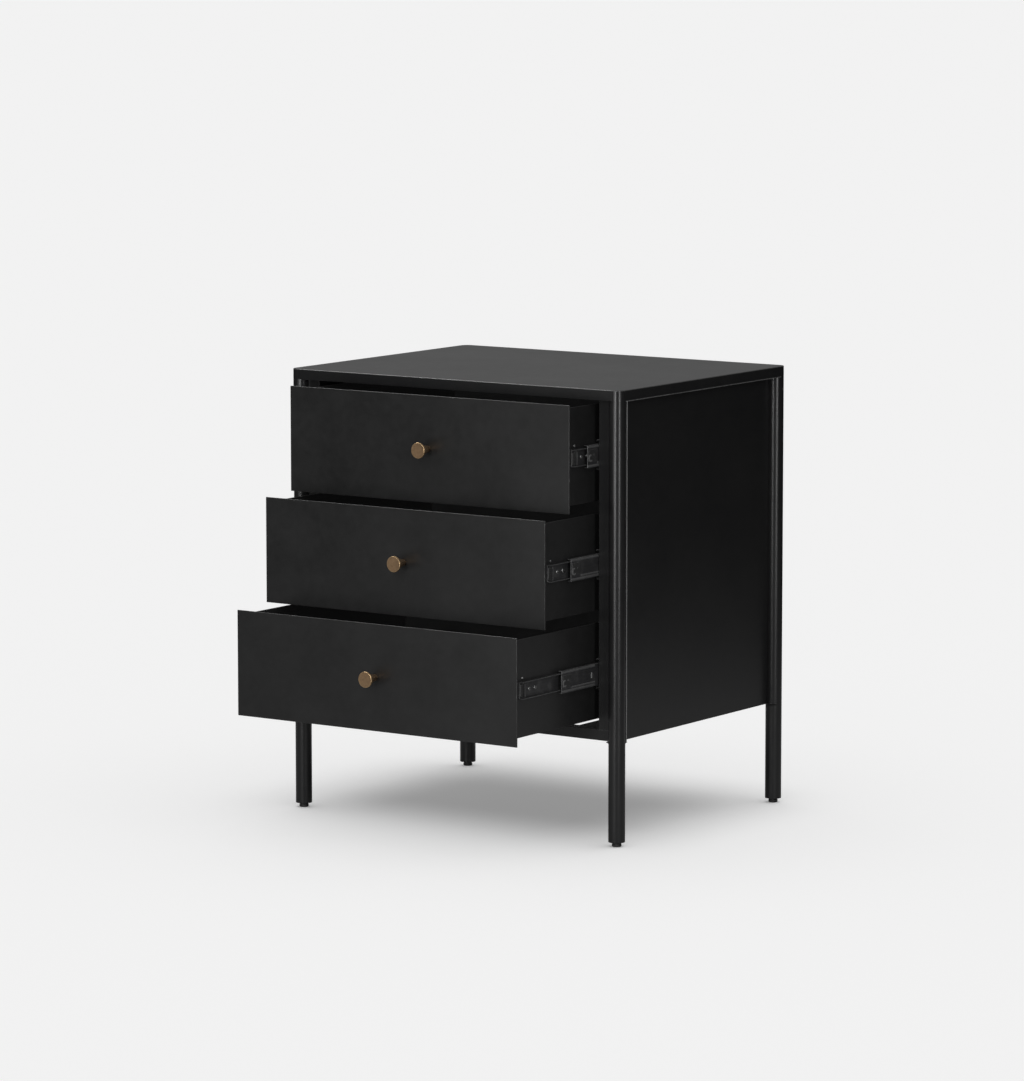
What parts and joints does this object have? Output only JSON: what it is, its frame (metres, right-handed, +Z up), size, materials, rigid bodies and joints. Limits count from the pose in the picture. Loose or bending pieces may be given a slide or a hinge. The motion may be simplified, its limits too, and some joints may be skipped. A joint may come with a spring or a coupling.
{
  "type": "nightstand with drawers",
  "caption": "Low square-edged steel nightstand on slim round posts, with drawers that run out on ball-bearing slides behind flat fronts with round brass knobs.",
  "frame": {"origin": "on the floor, under the middle of the case between the four posts", "axes": "+Z up; the drawer fronts face -Y; +X is to the right of someone facing the fronts"},
  "size_m": [0.61, 0.6974, 0.688],
  "materials": {
    "case_black": "satin black paint over steel, faintly mottled",
    "drawer_black": "satin black paint over steel",
    "slide_black": "black electrophoretic coat, semi-gloss",
    "aged_brass": "aged brushed brass",
    "screw_steel": "zinc-plated",
    "cage_steel": "zinc-plated cage with bright balls",
    "foot_plastic": "black moulded nylon"
  },
  "bodies": {
    "case": {"post_front_left": "case_black", "post_front_right": "case_black", "post_back_left": "case_black", "post_back_right": "case_black", "top_panel": "case_black", "side_panel_left": "case_black", "side_panel_right": "case_black", "back_panel": "case_black", "stile_left": "case_black", "stile_right": "case_black", "rear_upright_left": "case_black", "rear_upright_right": "case_black", "front_bottom_rail": "case_black", "side_bottom_rail_left": "case_black", "side_bottom_rail_right": "case_black", "post_plugs": "screw_steel", "case_slide_screws": "screw_steel", "top_cabinet_member_left": "slide_black", "top_cabinet_member_right": "slide_black", "middle_cabinet_member_left": "slide_black", "middle_cabinet_member_right": "slide_black", "bottom_cabinet_member_left": "slide_black", "bottom_cabinet_member_right": "slide_black"},
    "top_drawer": {"top_front": "drawer_black", "top_box": "drawer_black", "top_knob": "aged_brass", "top_knob_screw": "screw_steel", "top_box_fasteners": "screw_steel", "top_drawer_member_left": "slide_black", "top_drawer_member_right": "slide_black"},
    "top_intermediate_member_left": {"top_intermediate_member_left": "slide_black"},
    "top_intermediate_member_right": {"top_intermediate_member_right": "slide_black"},
    "top_outer_cages": {"top_outer_cages": "cage_steel"},
    "top_inner_cages": {"top_inner_cages": "cage_steel"},
    "middle_drawer": {"middle_front": "drawer_black", "middle_box": "drawer_black", "middle_knob": "aged_brass", "middle_knob_screw": "screw_steel", "middle_box_fasteners": "screw_steel", "middle_drawer_member_left": "slide_black", "middle_drawer_member_right": "slide_black"},
    "middle_intermediate_member_left": {"middle_intermediate_member_left": "slide_black"},
    "middle_intermediate_member_right": {"middle_intermediate_member_right": "slide_black"},
    "middle_outer_cages": {"middle_outer_cages": "cage_steel"},
    "middle_inner_cages": {"middle_inner_cages": "cage_steel"},
    "bottom_drawer": {"bottom_front": "drawer_black", "bottom_box": "drawer_black", "bottom_knob": "aged_brass", "bottom_knob_screw": "screw_steel", "bottom_box_fasteners": "screw_steel", "bottom_drawer_member_left": "slide_black", "bottom_drawer_member_right": "slide_black"},
    "bottom_intermediate_member_left": {"bottom_intermediate_member_left": "slide_black"},
    "bottom_intermediate_member_right": {"bottom_intermediate_member_right": "slide_black"},
    "bottom_outer_cages": {"bottom_outer_cages": "cage_steel"},
    "bottom_inner_cages": {"bottom_inner_cages": "cage_steel"},
    "foot_front_left": {"foot_front_left": "foot_plastic"},
    "foot_front_right": {"foot_front_right": "foot_plastic"},
    "foot_back_left": {"foot_back_left": "foot_plastic"},
    "foot_back_right": {"foot_back_right": "foot_plastic"}
  },
  "joints": [
    {"name": "top_drawer_slide", "type": "slide", "parent": "case", "child": "top_drawer", "axis": [0, -1, 0], "range_m": [-0.0634, 0.3366]},
    {"name": "top_intermediate_member_left_slide", "type": "slide", "parent": "case", "child": "top_intermediate_member_left", "axis": [0, -1, 0], "range_m": [-0.0317, 0.1683]},
    {"name": "top_intermediate_member_right_slide", "type": "slide", "parent": "case", "child": "top_intermediate_member_right", "axis": [0, -1, 0], "range_m": [-0.0317, 0.1683]},
    {"name": "top_outer_cages_roll", "type": "slide", "parent": "case", "child": "top_outer_cages", "axis": [0, -1, 0], "range_m": [-0.01585, 0.08415]},
    {"name": "top_inner_cages_roll", "type": "slide", "parent": "case", "child": "top_inner_cages", "axis": [0, -1, 0], "range_m": [-0.04755, 0.25245]},
    {"name": "middle_drawer_slide", "type": "slide", "parent": "case", "child": "middle_drawer", "axis": [0, -1, 0], "range_m": [-0.1271, 0.2729]},
    {"name": "middle_intermediate_member_left_slide", "type": "slide", "parent": "case", "child": "middle_intermediate_member_left", "axis": [0, -1, 0], "range_m": [-0.06355, 0.13645]},
    {"name": "middle_intermediate_member_right_slide", "type": "slide", "parent": "case", "child": "middle_intermediate_member_right", "axis": [0, -1, 0], "range_m": [-0.06355, 0.13645]},
    {"name": "middle_outer_cages_roll", "type": "slide", "parent": "case", "child": "middle_outer_cages", "axis": [0, -1, 0], "range_m": [-0.03177, 0.06822]},
    {"name": "middle_inner_cages_roll", "type": "slide", "parent": "case", "child": "middle_inner_cages", "axis": [0, -1, 0], "range_m": [-0.09532, 0.20467]},
    {"name": "bottom_drawer_slide", "type": "slide", "parent": "case", "child": "bottom_drawer", "axis": [0, -1, 0], "range_m": [-0.2004, 0.1996]},
    {"name": "bottom_intermediate_member_left_slide", "type": "slide", "parent": "case", "child": "bottom_intermediate_member_left", "axis": [0, -1, 0], "range_m": [-0.1002, 0.0998]},
    {"name": "bottom_intermediate_member_right_slide", "type": "slide", "parent": "case", "child": "bottom_intermediate_member_right", "axis": [0, -1, 0], "range_m": [-0.1002, 0.0998]},
    {"name": "bottom_outer_cages_roll", "type": "slide", "parent": "case", "child": "bottom_outer_cages", "axis": [0, -1, 0], "range_m": [-0.0501, 0.0499]},
    {"name": "bottom_inner_cages_roll", "type": "slide", "parent": "case", "child": "bottom_inner_cages", "axis": [0, -1, 0], "range_m": [-0.1503, 0.1497]},
    {"name": "foot_front_left_screw", "type": "slide", "parent": "case", "child": "foot_front_left", "axis": [0, 0, -1], "range_m": [-0.001, 0.01]},
    {"name": "foot_front_right_screw", "type": "slide", "parent": "case", "child": "foot_front_right", "axis": [0, 0, -1], "range_m": [-0.001, 0.01]},
    {"name": "foot_back_left_screw", "type": "slide", "parent": "case", "child": "foot_back_left", "axis": [0, 0, -1], "range_m": [-0.001, 0.01]},
    {"name": "foot_back_right_screw", "type": "slide", "parent": "case", "child": "foot_back_right", "axis": [0, 0, -1], "range_m": [-0.001, 0.01]}
  ],
  "couplings": [
    {"joint": "top_intermediate_member_left_slide", "follows": "top_drawer_slide", "ratio": 0.5},
    {"joint": "top_intermediate_member_right_slide", "follows": "top_drawer_slide", "ratio": 0.5},
    {"joint": "top_outer_cages_roll", "follows": "top_drawer_slide", "ratio": 0.25},
    {"joint": "top_inner_cages_roll", "follows": "top_drawer_slide", "ratio": 0.75},
    {"joint": "middle_intermediate_member_left_slide", "follows": "middle_drawer_slide", "ratio": 0.5},
    {"joint": "middle_intermediate_member_right_slide", "follows": "middle_drawer_slide", "ratio": 0.5},
    {"joint": "middle_outer_cages_roll", "follows": "middle_drawer_slide", "ratio": 0.25},
    {"joint": "middle_inner_cages_roll", "follows": "middle_drawer_slide", "ratio": 0.75},
    {"joint": "bottom_intermediate_member_left_slide", "follows": "bottom_drawer_slide", "ratio": 0.5},
    {"joint": "bottom_intermediate_member_right_slide", "follows": "bottom_drawer_slide", "ratio": 0.5},
    {"joint": "bottom_outer_cages_roll", "follows": "bottom_drawer_slide", "ratio": 0.25},
    {"joint": "bottom_inner_cages_roll", "follows": "bottom_drawer_slide", "ratio": 0.75}
  ]
}
